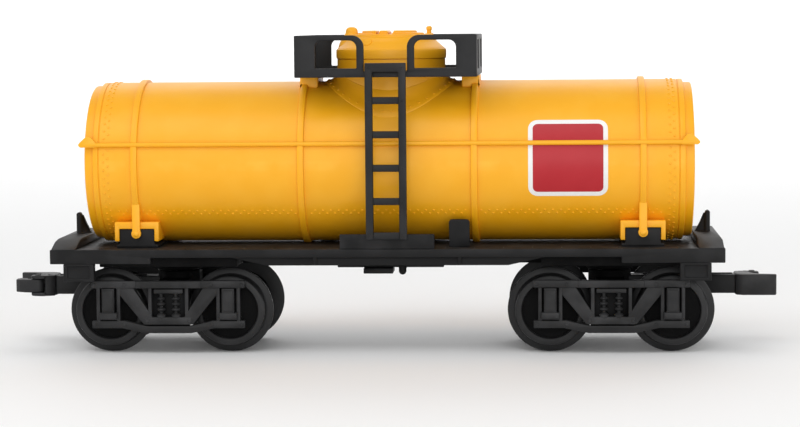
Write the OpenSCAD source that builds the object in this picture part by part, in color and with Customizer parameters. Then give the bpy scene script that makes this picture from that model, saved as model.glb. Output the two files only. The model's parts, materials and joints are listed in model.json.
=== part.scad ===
// Large-scale toy railway tank car on 45 mm track.
// X runs along the car, Y across it, Z up. Z = 0 is the floor under the wheel flanges,
// and the origin is at the middle of the car.

/* [Wheels and trucks] */
// Radius of the wheel tread
tread_r = 14.6; // [14:0.1:15]
// Radius of the wheel flange
flange_r = 17.8; // [17:0.1:18]
// Distance between the inner faces of two wheels on one axle
back_to_back = 40; // [39:0.5:40.5]
// Radius of the steel axle
axle_r = 1.5; // [1.2:0.1:1.8]
// Distance between the two axles of a truck
wheelbase = 50.6; // [50:0.2:52]
// Distance from the middle of the car to the pivot of a truck
truck_x = 92.5; // [90:0.5:94]

/* [Tank] */
// Radius of the tank barrel
tank_r = 34; // [33:0.5:35]
// Half length of the tank at the rim of its ends
tank_half = 126.6; // [125:0.2:128]
// How far each tank end bulges out at its middle
end_bulge = 1.6; // [1:0.1:3]
// Height of the tank axis above the floor
tank_z = 79.2; // [78:0.1:80]
// Distance from the middle of the car to an end band
end_band_x = 105.6; // [104:0.2:108]
// Distance from the middle of the car to a middle band
mid_band_x = 36; // [35:0.2:38]
// Height of the handrails
rail_z = 88.1; // [86:0.1:90]

/* [Deck] */
// Half length of the deck
deck_half = 139.8; // [138:0.2:141]
// Place of the middle of the deck along the car
deck_x = -1; // [-1.4:0.2:1.4]
// Half width of the deck
deck_y = 38.2; // [37:0.1:39]
// Height of the top of the deck
deck_z = 44.7; // [44:0.1:45]

/* [Dome and walkway] */
// Radius of the dome
dome_r = 23; // [22:0.1:23.5]
// Half length of the walkway
walk_x = 37.6; // [36:0.1:39]
// Half width of the walkway
walk_y = 38; // [36:0.1:38.5]
// Height of the underside of the walkway
walk_z = 115.5; // [115.2:0.1:116]
// Height of the top of the walkway rail
walk_top = 132.8; // [131:0.1:134]

/* [Hidden] */
$fn = 96;
axle_z = flange_r;
wheel_in = back_to_back / 2;
flange_w = 1.6;
wheel_w = 7;
wheel_out = wheel_in + wheel_w;
rim_r = 11.8;
side_y = wheel_out + 1.1;
side_t = 3.6;
frame_top = 30.8;
axle_end = side_y + 2.2;
bore_gap = 0.05;
tank_top = tank_z + tank_r;
dome_top = 133;
cap_x = 123;
cap_r = tank_r - 1.3;
deck_t = 3.5;
skirt_z = 38.7;
skirt_x = 97.5;
skirt_t = 2.6;
sill_z = 37.7;
sill_y = deck_y - 2.6;
sill_t = 2.2;
seam_x = 130.2;
pivot_r = 3;
plate_r = 9;
bolster_z0 = 24;
centre_z = 32.6;
band_t = 1.2;
band_w = 2.8;
strap_w = 3.3;
strap_tip_r = 2;
strap_y = 29.4;
saddle_half = 7.4;
saddle_top = 52.6;
rung_zs = [50.3, 64.5, 78.2, 92, 106];
coupler_z0 = 21.9;
coupler_z1 = 30.7;
knuckle_pin = [60.6, 5.2];
knuckle_pin_r = 1.1;

tank_yellow = [0.96, 0.67, 0.1];
frame_grey = [0.16, 0.16, 0.17];
steel_grey = [0.5, 0.5, 0.52];

// ---- helpers ----

// A cylinder of radius r along Y from y0 to y1, around the point x, z
module along_y(r, y0, y1, x = 0, z = 0) {
  translate([x, y0, z]) rotate([-90, 0, 0]) cylinder(r = r, h = y1 - y0);
}

// A cylinder of radius r along X from x0 to x1, around the tank axis
module along_tank(r, x0, x1) {
  translate([x0, 0, tank_z]) rotate([0, 90, 0]) cylinder(r = r, h = x1 - x0);
}

// A box given by its lowest and highest corners
module box(a, b) {
  translate(a) cube(b - a);
}

// An outline drawn in X and Z, pushed out along Y from y0 to y1
module slab(y0, y1) {
  translate([0, y1, 0]) rotate([90, 0, 0]) linear_extrude(y1 - y0) children();
}

// Copies at both ends of the car
module both_ends() {
  children();
  mirror([1, 0, 0]) children();
}

// Copies on both sides of the car
module both_sides() {
  children();
  mirror([0, 1, 0]) children();
}

// A rectangle with rounded corners, from its lowest to its highest corner
module rounded(a, b, r) {
  for (x = [a[0] + r, b[0] - r], z = [a[1] + r, b[1] - r]) translate([x, z]) circle(r, $fn = 32);
  translate([a[0] + r, a[1]]) square([b[0] - a[0] - 2 * r, b[1] - a[1]]);
  translate([a[0], a[1] + r]) square([b[0] - a[0], b[1] - a[1] - 2 * r]);
}

// ---- tank ----

// The barrel with its two bulged ends
module tank_barrel() {
  rim = 1.2;
  ball_r = (cap_r * cap_r + end_bulge * end_bulge) / (2 * end_bulge);
  color(tank_yellow) translate([0, 0, tank_z]) rotate([0, 90, 0]) {
    translate([0, 0, -cap_x]) cylinder(r = tank_r, h = 2 * cap_x);
    translate([0, 0, -tank_half]) cylinder(r = cap_r, h = 2 * tank_half);
    for (end = [0, 1]) mirror([0, 0, end]) intersection() {
      translate([0, 0, tank_half + end_bulge - ball_r]) sphere(ball_r, $fn = 200);
      translate([0, 0, tank_half - rim]) cylinder(r = cap_r - rim, h = 3 * rim + end_bulge);
    }
  }
}

// One hoop round the barrel
module hoop(x, w) {
  translate([x - w / 2, 0, tank_z]) rotate([0, 90, 0]) difference() {
    cylinder(r = tank_r + band_t, h = w);
    translate([0, 0, -1]) cylinder(r = tank_r, h = w + 2);
  }
}

// Four hoops round the barrel, and the straight round-tipped feet of the two end ones
module tank_bands() {
  color(tank_yellow) both_ends() difference() {
    union() {
      hoop(end_band_x, band_w);
      hoop(mid_band_x, band_w);
      both_sides() slab(-strap_y - 1.8, -strap_y) translate([end_band_x, 48.7 + strap_tip_r]) {
        circle(strap_tip_r);
        translate([-strap_w / 2, 0]) square([strap_w, 12.5]);
      }
    }
    along_tank(tank_r, 20, 120);
    box([20, -deck_y, 40], [120, deck_y, deck_z]);
  }
}

// One handrail on each side on a web from the barrel, over the hoops, with a wedge at each tip
module tank_handrails() {
  reach = sqrt(pow(tank_r, 2) - pow(rail_z - tank_z, 2));
  rail_r = 1;
  y = reach + 0.9;
  color(tank_yellow) both_sides() both_ends() difference() {
    union() {
      translate([0, -y, rail_z]) rotate([0, 90, 0]) cylinder(r = rail_r, h = tank_half, $fn = 48);
      box([0, -y, rail_z - 0.7], [cap_x, -reach + 1, rail_z + 0.7]);
      slab(-y - 0.8, -y + 0.8) translate([tank_half, rail_z]) polygon([
        [-5, -1], [1.2, -1], [2, -0.4], [2.1, 0.2], [1.6, 0.9], [-1.1, 3.4], [-3, 3.4], [-5, 1]
      ]);
    }
    along_tank(tank_r, -1, cap_x);
    hoop(end_band_x, band_w);
    hoop(mid_band_x, band_w);
  }
}

// Brackets like an upside-down U, which stand out from the barrel over the ends of each saddle
module strap_clips() {
  leg = 1.9;
  half = saddle_half + leg;
  color(tank_yellow) both_sides() both_ends() difference() {
    slab(-strap_y, -14) translate([end_band_x, 0]) difference() {
      translate([-half, 47.4]) square([2 * half, 8.1]);
      translate([-saddle_half, 40]) square([2 * saddle_half, saddle_top - 40]);
    }
    along_tank(tank_r, 80, 120);
    hoop(end_band_x, band_w);
  }
}

// Blocks on the middle hoops that carry the walkway
module walkway_supports() {
  color(tank_yellow) both_ends() difference() {
    box([30.4, -13, tank_top - 4], [37.9, 13, walk_z]);
    along_tank(tank_r, 20, 50);
    hoop(mid_band_x, band_w);
  }
}

// The drum of the dome with its rounded shoulder and lid
module dome_drum() {
  seam_z = 122.6;
  rotate_extrude() polygon([
    [0, 100], [dome_r, 100], [dome_r, seam_z], [dome_r + 0.4, seam_z + 0.4], [dome_r + 0.6, seam_z + 2],
    [dome_r + 0.2, 126.4], [dome_r - 2.6, 128.9], [18.4, 131.2], [17.6, 131.8], [17.6, dome_top], [0, dome_top]
  ]);
}

// The dome with its flared skirt on the barrel
module dome() {
  skirt_r = 27.8;
  color(tank_yellow) difference() {
    union() {
      dome_drum();
      translate([0, 0, 84]) intersection() {
        cylinder(r = skirt_r, h = 30);
        translate([-30, 0, tank_z - 84]) rotate([0, 90, 0]) cylinder(r = tank_r + 0.6, h = 60);
      }
    }
    along_tank(tank_r, -60, 60);
  }
}

// The hatch on top of the dome: two discs with grooves across the upper one
module dome_hatch() {
  color(tank_yellow) difference() {
    union() {
      translate([0, 0, dome_top]) cylinder(r = 14, h = 0.6);
      translate([0, 0, dome_top]) cylinder(r = 12, h = 1.6);
    }
    for (x = [[-5.6, -3.7], [-0.6, 2.3]]) box([x[0], -15, dome_top + 0.3], [x[1], 15, dome_top + 3]);
  }
}

// A round-topped vent and a pin-shaped valve beside the hatch
module dome_valves() {
  vent_r = 2.5;
  pin_r = 1.15;
  color(tank_yellow) difference() {
    union() {
      translate([-16.6, 0, 127]) cylinder(r = vent_r, h = 6.8);
      translate([-16.6, 0, 133.8]) rotate_extrude() intersection() {
        circle(vent_r, $fn = 48);
        square([3, 3]);
      }
      translate([16.2, 0, dome_top]) cylinder(r = pin_r, h = 2.2);
      translate([16.2, 0, dome_top + 2.2]) rotate_extrude() intersection() {
        circle(pin_r, $fn = 32);
        square([2, 2]);
      }
    }
    dome_drum();
  }
}

// ---- walkway and ladders ----

// The outline of one long rail of the walkway: two framed openings and a gap for the ladder
module rail_outline() {
  post_in = 8.9;
  for (end = [0, 1]) mirror([end, 0]) difference() {
    union() {
      translate([post_in, walk_z]) square([walk_x - post_in, walk_top - walk_z - 5]);
      translate([post_in + 5, walk_top - 5]) square([walk_x - post_in - 5, 5]);
      translate([post_in + 5, walk_top - 5]) circle(5);
    }
    rounded([11.9, 119.2], [29, 130.7], 3);
    translate([11.9, 119.2]) square(5);
    translate([24, 119.2]) square(5);
  }
}

// The walkway round the dome: a floor with a hole, two long rails and two end walls
module walkway() {
  wall = 1.8;
  floor_t = 2.3;
  color(frame_grey) {
    difference() {
      box([-walk_x, -walk_y, walk_z], [walk_x, walk_y, walk_z + floor_t]);
      translate([0, 0, walk_z - 1]) cylinder(r = dome_r + 1.6, h = floor_t + 2);
    }
    both_sides() slab(-walk_y, -walk_y + wall) rail_outline();
    both_ends() difference() {
      box([walk_x - wall, -walk_y, walk_z], [walk_x, walk_y, walk_top]);
      for (y = [-29, 11.5]) box([walk_x - 0.7, y, walk_z + 3], [walk_x + 1, y + 17.5, walk_top - 2.2]);
    }
  }
}

// One ladder: two rails and six bars
module ladder() {
  half = 8.45;
  rail_w = 3.1;
  y0 = -walk_y - 2.6;
  y1 = -walk_y;
  color(frame_grey) {
    both_ends() box([half - rail_w, y0, 48.8], [half, y1, 121.4]);
    for (z = rung_zs) box([-half + 1, y0 + 0.4, z - 1.45], [half - 1, y1 - 0.2, z + 1.45]);
    box([-half, y0, 117.7], [half, y1, 121.4]);
  }
}

module near_ladder() {
  ladder();
}

module far_ladder() {
  mirror([0, 1, 0]) ladder();
}

// ---- deck and underframe ----

// The deck plate with deeper skirts at its ends
module deck() {
  color(frame_grey) translate([deck_x, 0, 0]) {
    box([-deck_half, -deck_y, deck_z - deck_t], [deck_half, deck_y, deck_z]);
    both_ends() {
      both_sides() box([skirt_x, -deck_y, skirt_z], [deck_half, -deck_y + skirt_t, deck_z]);
      box([deck_half - skirt_t, -deck_y, skirt_z], [deck_half, deck_y, deck_z]);
    }
  }
}

// One side sill: a web that is deeper in its middle, and two gussets out to the deck's edge
module side_sill() {
  top = deck_z - deck_t;
  color(frame_grey) {
    slab(-sill_y, -sill_y + sill_t) polygon([
      [-66, top], [-50, sill_z], [50, sill_z], [66, top]
    ]);
    for (x = [-30, 30]) translate([x - 0.8, 0, 0]) rotate([90, 0, 90]) linear_extrude(1.6)
      polygon([[-sill_y + 0.5, top], [-deck_y + 0.2, top], [-sill_y, sill_z + 0.4], [-sill_y + 0.5, sill_z + 0.4]]);
  }
}

module near_side_sill() {
  side_sill();
}

module far_side_sill() {
  mirror([0, 1, 0]) side_sill();
}

// The raised pads that carry the feet of the ladders
module ladder_feet() {
  color(frame_grey) both_sides()
    box([-19.6, -walk_y, deck_z], [19.6, -walk_y + 2.4, 50.8]);
}

// Four step boxes under the corners of the deck, each with a sunk panel
module corner_steps() {
  z0 = 31.4;
  color(frame_grey) translate([deck_x, 0, 0]) both_sides() both_ends() difference() {
    box([121.4, -deck_y, z0], [134.2, -deck_y + 4, skirt_z]);
    box([123.2, -deck_y - 1, z0 + 1.3], [132.4, -deck_y + 0.6, skirt_z - 1]);
  }
}

// A raised end beam with hipped ends on each end of the deck, and an upright with its sloping web
module end_braces() {
  beam_y = 26;
  beam_z = 48.4;
  color(frame_grey) translate([deck_x, 0, 0]) both_ends() {
    intersection() {
      slab(-deck_y, deck_y) polygon([
        [128.8, deck_z], [139.4, deck_z], [139.4, 47.2], [138.6, beam_z], [128.8, beam_z]
      ]);
      translate([120, 0, 0]) rotate([90, 0, 90]) linear_extrude(20)
        polygon([[-deck_y, deck_z], [deck_y, deck_z], [beam_y, beam_z], [-beam_y, beam_z]]);
    }
    slab(0.2, 4) polygon([
      [133.9, 46], [136.1, 46], [136.1, 56.8], [135.2, 57.4], [134.2, 57], [133.9, 56]
    ]);
    slab(1, 3.2) polygon([[129.8, 46], [134.6, 46], [134.6, 56.9], [134.1, 56.4], [129.8, 48.6]]);
  }
}

// Two blocks, hollowed to the barrel and its hoop, that carry the tank on the deck
module tank_saddles() {
  foot = saddle_half + 1.4;
  color(frame_grey) both_ends() difference() {
    union() {
      box([end_band_x - saddle_half, -28.8, deck_z], [end_band_x + saddle_half, 28.8, saddle_top]);
      box([end_band_x - foot, -28.8, deck_z], [end_band_x + foot, 28.8, 46]);
    }
    along_tank(tank_r, 80, 130);
    along_tank(tank_r + band_t, end_band_x - band_w / 2, end_band_x + band_w / 2);
  }
}

// The centre sill with the two pivot pins of the trucks
module centre_sill() {
  top = deck_z - deck_t;
  color(frame_grey) {
    box([-truck_x, -9, 36.2], [truck_x, 9, top]);
    both_ends() translate([truck_x, 0, 0]) {
      translate([0, 0, centre_z + 0.6]) cylinder(r = plate_r + 1, h = top - centre_z - 0.6);
      translate([0, 0, 21]) cylinder(r = pivot_r, h = 20);
      translate([0, 0, 21.4]) cylinder(r = 5, h = 2);
    }
  }
}

// Wide blocks under the deck over the trucks, on both sides of the centre sill
module body_bolsters() {
  half = 29;
  color(frame_grey) both_sides() both_ends()
    box([truck_x - half, -30, 36.6], [truck_x + half, -plate_r - 1, deck_z - deck_t]);
}

// The tread plate, box and pin that hang under the middle of the car
module underframe_box() {
  color(frame_grey) {
    box([-22.5, -16, 34.9], [22.5, 16, 36.2]);
    box([-11.2, -20, 32.6], [1.2, -8, 34.9]);
    translate([5.2, -18, 33.6]) cylinder(r = 1.6, h = 2.6);
    translate([5.2, -18, 33.6]) sphere(1.6, $fn = 32);
    box([3.6, -18, 34.9], [6.8, -14, 36.2]);
  }
}

// A round-topped tab beside the tank on each side, opposite each other
module frame_tabs() {
  color(frame_grey) for (turn = [0, 180]) rotate(turn)
    slab(-29.6, -27.6) {
      translate([25.3, deck_z]) square([8.6, 10]);
      rounded([25.3, 50], [33.9, 56.2], 1.4);
    }
}

// ---- trucks, drawn round their own pivot, outer end towards +X ----

// The side frame's outline, which is the same in both directions
module side_frame_outline() {
  half = 32.2;
  translate([-half, 27.8]) square([2 * half, frame_top - 27.8]);
  for (end = [0, 1]) mirror([end, 0]) {
    translate([19.6, 11]) square([half - 19.6, 3.1]);
    polygon([[0, 8.9], [9.5, 8.9], [14, 9.8], [19.6, 11], [20, 12], [20, 14.1], [18.6, 14.1],
             [13.6, 12.9], [9, 11.9], [0, 11.9]]);
    translate([20.4, 13]) square([9.9, 15]);
    polygon([[15, 28], [20.4, 28], [20.4, 25.4], [10.2, 12.4], [6.2, 14.8]]);
    translate([7, 13]) square([1.5, 15.5]);
  }
  translate([-9.7, 12.5]) square([19.4, 3.1]);
}

// One side frame on the near side, with the bearings for the axles
module side_frame() {
  color(frame_grey) difference() {
    union() {
      slab(-side_y - side_t, -side_y) side_frame_outline();
      for (dx = [-1, 1] * wheelbase / 2) {
        slab(-side_y - side_t - 0.9, -side_y - side_t) {
          translate([dx - 2.8, 15.6]) square([5.6, 12.2]);
          translate([dx - 3.9, 14.6]) square([7.8, 3]);
        }
        along_y(3.4, -side_y - 1, -side_y + 0.6, dx, axle_z);
      }
    }
    for (dx = [-1, 1] * wheelbase / 2) along_y(axle_r + bore_gap, -axle_end - 0.4, 0, dx, axle_z);
    for (dx = [-1, 1] * wheelbase / 2, s = [-1, 1])
      box([dx + s * 3.8 - 0.5, -side_y - side_t - 2, 18], [dx + s * 3.8 + 0.5, -side_y - side_t + 1, 27.2]);
  }
}

// The bolster between the side frames, with its centre plate and pivot hole
module bolster() {
  color(frame_grey) difference() {
    union() {
      box([-6.2, -side_y, bolster_z0], [6.2, side_y, 29.6]);
      translate([0, 0, bolster_z0]) cylinder(r = plate_r, h = centre_z - bolster_z0);
    }
    translate([0, 0, bolster_z0 - 1]) cylinder(r = pivot_r + bore_gap, h = 20);
  }
}

// Four sprung stacks in the windows of the side frames, under their caps
module springs() {
  color(frame_grey) both_sides() {
    box([-6.9, -side_y - 2.6, 25.4], [6.9, -side_y - 0.2, 27.8]);
    for (dx = [-3.1, 3.1]) translate([dx, -side_y - 1.9, 15.6]) {
      cylinder(r = 1, h = 9.9);
      for (i = [0 : 3]) translate([0, 0, 0.5 + i * 2.5]) cylinder(r = 1.8, h = 1.1);
    }
  }
}

// The outline of the coupler head seen from above
module head_outline() {
  polygon([
    [53, -6.4], [56, -8], [69.6, -8], [70.2, -6], [63.5, -4.3], [61.4, -2.6], [60, 0.6], [59.6, 2.1], [57.4, 2.1],
    [57.4, 8], [55, 7.6], [53, 6.2]
  ]);
}

// The coupler: a tongue from the bolster over the outer axle, and a head with two ears
module coupler() {
  ear_t = 1.5;
  pin = knuckle_pin;
  color(frame_grey) {
    difference() {
      box([6.2, -4.6, 22.4], [54, 4.6, 30.2]);
      translate([0, 0, 20]) cylinder(r = plate_r, h = 12);
    }
    translate([0, 0, coupler_z0]) linear_extrude(coupler_z1 - coupler_z0) head_outline();
    for (z = [coupler_z0, coupler_z1 - ear_t]) translate([0, 0, z]) linear_extrude(ear_t) {
      translate([57, pin[1] - 3]) square([pin[0] - 57, 6]);
      translate(pin) circle(3);
    }
    translate([pin[0], pin[1], coupler_z0]) cylinder(r = knuckle_pin_r, h = coupler_z1 - coupler_z0);
  }
}

// The knuckle: a barrel on the head's pin and a hooked jaw
module knuckle() {
  pin = knuckle_pin;
  z0 = coupler_z0 + 1.7;
  z1 = coupler_z1 - 1.7;
  color(frame_grey) difference() {
    union() {
      translate([pin[0], pin[1], z0]) cylinder(r = 2.7, h = z1 - z0);
      translate([0, 0, z0]) linear_extrude(z1 - z0)
        polygon([[pin[0], pin[1] - 2.7], [65.2, 3.9], [66, 0.9], [69, 0.3], [70.2, 2.2], [70, 6.4], [68, 7.9],
                 [pin[0], pin[1] + 2.7]]);
    }
    translate([pin[0], pin[1], z0 - 1]) cylinder(r = knuckle_pin_r + bore_gap, h = z1 - z0 + 2);
  }
}

// One axle at dx from the truck's pivot
module axle(dx) {
  color(steel_grey) along_y(axle_r, -axle_end, axle_end, dx, axle_z);
}

// A pair of wheels at dx from the truck's pivot
module wheels(dx) {
  color(frame_grey) both_sides() translate([dx, 0, axle_z]) rotate([90, 0, 0]) rotate_extrude() polygon([
    [axle_r, wheel_in - 1], [4, wheel_in - 1], [4, wheel_in + 1.6], [rim_r, wheel_in + 1.2], [rim_r, wheel_in],
    [flange_r - 0.5, wheel_in], [flange_r, wheel_in + 0.5], [flange_r, wheel_in + 1.1],
    [flange_r - 0.5, wheel_in + flange_w],
    [tread_r + 0.3, wheel_in + flange_w + 0.3], [tread_r, wheel_out - 0.6], [tread_r - 0.6, wheel_out],
    [rim_r, wheel_out], [rim_r - 0.3, wheel_out - 2.2], [4, wheel_out - 1.6], [4, wheel_out],
    [axle_r, wheel_out]
  ]);
}

// Puts a piece of the right truck in its place
module right_truck() {
  translate([truck_x, 0, 0]) children();
}

// Puts a piece of the left truck in its place, turned half round
module left_truck() {
  translate([-truck_x, 0, 0]) rotate(180) children();
}

module left_near_side_frame() { left_truck() mirror([0, 1, 0]) side_frame(); }
module left_far_side_frame() { left_truck() side_frame(); }
module left_bolster() { left_truck() bolster(); }
module left_springs() { left_truck() springs(); }
module left_coupler() { left_truck() coupler(); }
module left_knuckle() { left_truck() knuckle(); }
module left_outer_axle() { left_truck() axle(wheelbase / 2); }
module left_outer_wheels() { left_truck() wheels(wheelbase / 2); }
module left_inner_axle() { left_truck() axle(-wheelbase / 2); }
module left_inner_wheels() { left_truck() wheels(-wheelbase / 2); }
module right_near_side_frame() { right_truck() side_frame(); }
module right_far_side_frame() { right_truck() mirror([0, 1, 0]) side_frame(); }
module right_bolster() { right_truck() bolster(); }
module right_springs() { right_truck() springs(); }
module right_coupler() { right_truck() coupler(); }
module right_knuckle() { right_truck() knuckle(); }
module right_outer_axle() { right_truck() axle(wheelbase / 2); }
module right_outer_wheels() { right_truck() wheels(wheelbase / 2); }
module right_inner_axle() { right_truck() axle(-wheelbase / 2); }
module right_inner_wheels() { right_truck() wheels(-wheelbase / 2); }

tank_barrel();
tank_bands();
tank_handrails();
strap_clips();
walkway_supports();
dome();
dome_hatch();
dome_valves();
walkway();
near_ladder();
far_ladder();
deck();
near_side_sill();
far_side_sill();
ladder_feet();
corner_steps();
end_braces();
tank_saddles();
centre_sill();
body_bolsters();
underframe_box();
frame_tabs();
left_near_side_frame();
left_far_side_frame();
left_bolster();
left_springs();
left_coupler();
left_knuckle();
left_outer_axle();
left_outer_wheels();
left_inner_axle();
left_inner_wheels();
right_near_side_frame();
right_far_side_frame();
right_bolster();
right_springs();
right_coupler();
right_knuckle();
right_outer_axle();
right_outer_wheels();
right_inner_axle();
right_inner_wheels();
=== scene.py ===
import json
import math

import bmesh
import bpy
from mathutils import Matrix, Vector


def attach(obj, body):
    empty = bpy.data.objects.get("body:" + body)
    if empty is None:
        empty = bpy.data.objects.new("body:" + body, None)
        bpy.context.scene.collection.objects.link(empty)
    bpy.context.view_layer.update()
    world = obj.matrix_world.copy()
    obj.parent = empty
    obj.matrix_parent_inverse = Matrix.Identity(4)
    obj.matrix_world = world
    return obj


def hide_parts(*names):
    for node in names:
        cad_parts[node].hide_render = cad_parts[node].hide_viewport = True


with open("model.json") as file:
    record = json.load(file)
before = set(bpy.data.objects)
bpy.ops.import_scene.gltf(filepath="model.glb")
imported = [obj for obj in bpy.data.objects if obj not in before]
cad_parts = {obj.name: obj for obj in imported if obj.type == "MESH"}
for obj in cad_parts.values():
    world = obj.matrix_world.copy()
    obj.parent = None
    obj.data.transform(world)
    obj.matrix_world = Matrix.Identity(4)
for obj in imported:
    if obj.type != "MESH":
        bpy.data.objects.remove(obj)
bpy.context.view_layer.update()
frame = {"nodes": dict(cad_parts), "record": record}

# Lengths below are in millimetres and angles in degrees; mm() turns a length into metres.

TANK_Z = 79.2  # height of the tank's middle
TANK_R = 34.0
DECK_Z = 44.7  # top of the deck
WALK_FLOOR_Z = 117.8  # top of the walkway's floor
TRUCK_X = 92.5  # from the middle of the car to each truck's pivot
AXLE_DX = 25.3  # from the pivot to each axle
AXLE_Z = 17.8
END_BAND_X = 105.6
MID_BAND_X = 36.0
RAIL_ANGLE = 74.8  # where the handrails run, in degrees down from the top of the tank
SIDE_Y = 28.1  # inner face of the side frames

CAR_MIDDLE = (0.0, 0.0, 0.06)

ACROSS = Matrix.Rotation(math.radians(-90), 4, "X")
ALONG = Matrix.Rotation(math.radians(90), 4, "Y")
UPRIGHT = Matrix.Rotation(math.radians(90), 4, "X")


def mm(*lengths):
    """Millimetres in metres: one number, or a Vector of three."""
    return lengths[0] * 0.001 if len(lengths) == 1 else Vector(lengths) * 0.001


def outward(side):
    """A turn that points Z out of the near side (-1) or the far side (1) of the car."""
    return Matrix.Rotation(math.radians(90 if side < 0 else -90), 4, "X")


# ---- camera, floor and lights ----


def add_camera():
    """The camera: almost side-on, a little above the deck and to the right of the middle."""
    data = bpy.data.cameras.new("camera")
    data.lens = 105.37
    data.sensor_width = 36.0
    data.clip_start = 0.05
    data.clip_end = 50.0
    camera = bpy.data.objects.new("camera", data)
    bpy.context.scene.collection.objects.link(camera)
    turn = Matrix.Rotation(math.radians(3.658), 4, "Z")
    tilt = Matrix.Rotation(math.radians(-4.606), 4, "X")
    roll = Matrix.Rotation(math.radians(0.501), 4, "Y")
    level = Matrix.Rotation(math.radians(90), 4, "X")
    camera.matrix_world = Matrix.Translation(mm(66.9, -997.6, 136.9)) @ turn @ tilt @ roll @ level
    bpy.context.scene.camera = camera


def add_floor(material):
    """A pale floor that curves up into a backdrop behind the car."""
    deselect_all()
    bpy.ops.mesh.primitive_plane_add(size=1, location=(0, 0, 0))
    floor = bpy.context.active_object
    floor.name = "studio_floor"
    width, depth, height, curve = 12, 9, 5, 2.5
    floor.scale = (width, depth, 1)
    bpy.ops.object.transform_apply(location=True, rotation=True, scale=True)
    bpy.ops.object.mode_set(mode="EDIT")
    bpy.ops.mesh.select_all(action="DESELECT")
    select_edges(floor, lambda a, b: min(a.y, b.y) > 0.9 * depth / 2)
    bpy.ops.mesh.extrude_region_move(TRANSFORM_OT_translate={"value": (0, 0, height)})
    bpy.ops.mesh.select_all(action="DESELECT")
    select_edges(floor, lambda a, b: min(a.y, b.y) > 0.9 * depth / 2 and max(a.z, b.z) < 0.1)
    bpy.ops.mesh.bevel(offset=curve, segments=24)
    bpy.ops.object.mode_set(mode="OBJECT")
    smooth(floor, 40)
    floor.data.materials.append(material)


def add_lights():
    """Large soft panels above, in front and at the sides, and an even white room."""
    panels = [
        ("key_panel", (-0.35, -0.9, 1.35), (1.5, 0.9), 8.2, CAR_MIDDLE),
        ("front_panel", (0.5, -1.9, 0.45), (2.4, 1.0), 12.5, CAR_MIDDLE),
        ("left_panel", (-1.4, -0.5, 0.6), (0.9, 0.9), 3.5, CAR_MIDDLE),
        ("right_panel", (1.5, -0.3, 0.7), (0.9, 0.9), 4.5, CAR_MIDDLE),
        ("back_panel", (0.0, 1.3, 1.3), (2.0, 0.7), 6.0, CAR_MIDDLE),
        ("wall_panel", (0.0, 2.2, 2.4), (5.0, 1.0), 90.0, (0.0, 4.5, 0.6)),
    ]
    for name, place, size, power, target in panels:
        data = bpy.data.lights.new(name, "AREA")
        data.shape = "RECTANGLE"
        data.size, data.size_y = size
        data.energy = power
        light = bpy.data.objects.new(name, data)
        light.location = place
        light.rotation_euler = (Vector(target) - Vector(place)).to_track_quat("-Z", "Y").to_euler()
        bpy.context.scene.collection.objects.link(light)
    world = bpy.data.worlds.new("white_room")
    bpy.context.scene.world = world
    world.use_nodes = True
    background = world.node_tree.nodes["Background"]
    background.inputs["Color"].default_value = (1.0, 1.0, 1.0, 1.0)
    background.inputs["Strength"].default_value = 0.5
    bpy.context.scene.view_settings.view_transform = "Standard"


# ---- modelling tools ----


def deselect_all():
    """Object mode with nothing selected."""
    if bpy.context.mode != "OBJECT":
        bpy.ops.object.mode_set(mode="OBJECT")
    bpy.ops.object.select_all(action="DESELECT")


def take(piece):
    """Makes one piece the only selected and active object."""
    deselect_all()
    piece.select_set(True)
    bpy.context.view_layer.objects.active = piece


def start_edit(piece):
    """Opens a piece in edit mode with nothing selected."""
    take(piece)
    bpy.ops.object.mode_set(mode="EDIT")
    bpy.ops.mesh.select_all(action="DESELECT")


def select_edges(piece, wanted):
    """Selects the edges for which wanted(end, other_end) is true, in edit mode."""
    bpy.ops.mesh.select_mode(type="EDGE")
    cage = bmesh.from_edit_mesh(piece.data)
    for edge in cage.edges:
        edge.select_set(wanted(edge.verts[0].co, edge.verts[1].co))
    bmesh.update_edit_mesh(piece.data)


def smooth(piece, angle=35):
    """Smooth shading, with edges sharper than the angle kept crisp."""
    take(piece)
    bpy.ops.object.shade_smooth_by_angle(angle=math.radians(angle))


def apply_modifier(piece, kind, **settings):
    """Adds a modifier, sets it up and applies it."""
    take(piece)
    modifier = piece.modifiers.new(kind.lower(), kind)
    for key, value in settings.items():
        setattr(modifier, key, value)
    bpy.ops.object.modifier_apply(modifier=modifier.name)


def round_edges(piece, width, segments=2, angle=35, clamp=False):
    """Rounds every edge that is sharper than the angle; clamp keeps the rounding within short edges."""
    apply_modifier(
        piece, "BEVEL", width=mm(width), segments=segments, limit_method="ANGLE",
        angle_limit=math.radians(angle), use_clamp_overlap=clamp, miter_outer="MITER_ARC", loop_slide=False,
    )


def mend(piece, distance=0.002):
    """Merges doubled points, drops loose ones and turns all faces outwards."""
    start_edit(piece)
    bpy.ops.mesh.select_all(action="SELECT")
    bpy.ops.mesh.remove_doubles(threshold=mm(distance))
    bpy.ops.mesh.dissolve_degenerate(threshold=mm(distance))
    bpy.ops.mesh.select_all(action="DESELECT")
    bpy.ops.mesh.select_mode(type="VERT")
    bpy.ops.mesh.delete_loose()
    bpy.ops.mesh.select_all(action="SELECT")
    bpy.ops.mesh.normals_make_consistent(inside=False)
    bpy.ops.object.mode_set(mode="OBJECT")


def turned(name, profile, place=None, steps=64):
    """A shape turned round its Z axis from a closed profile of (radius, height) points."""
    deselect_all()
    bpy.ops.mesh.primitive_circle_add(vertices=len(profile), radius=1, fill_type="NOTHING")
    piece = bpy.context.active_object
    piece.name = name
    for point, (radius, height) in zip(piece.data.vertices, profile):
        point.co = mm(radius, 0, height)
    start_edit(piece)
    bpy.ops.mesh.select_all(action="SELECT")
    bpy.ops.mesh.spin(steps=steps, angle=2 * math.pi, center=(0, 0, 0), axis=(0, 0, 1))
    mend(piece)
    if place is not None:
        piece.data.transform(place)
    return piece


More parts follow.
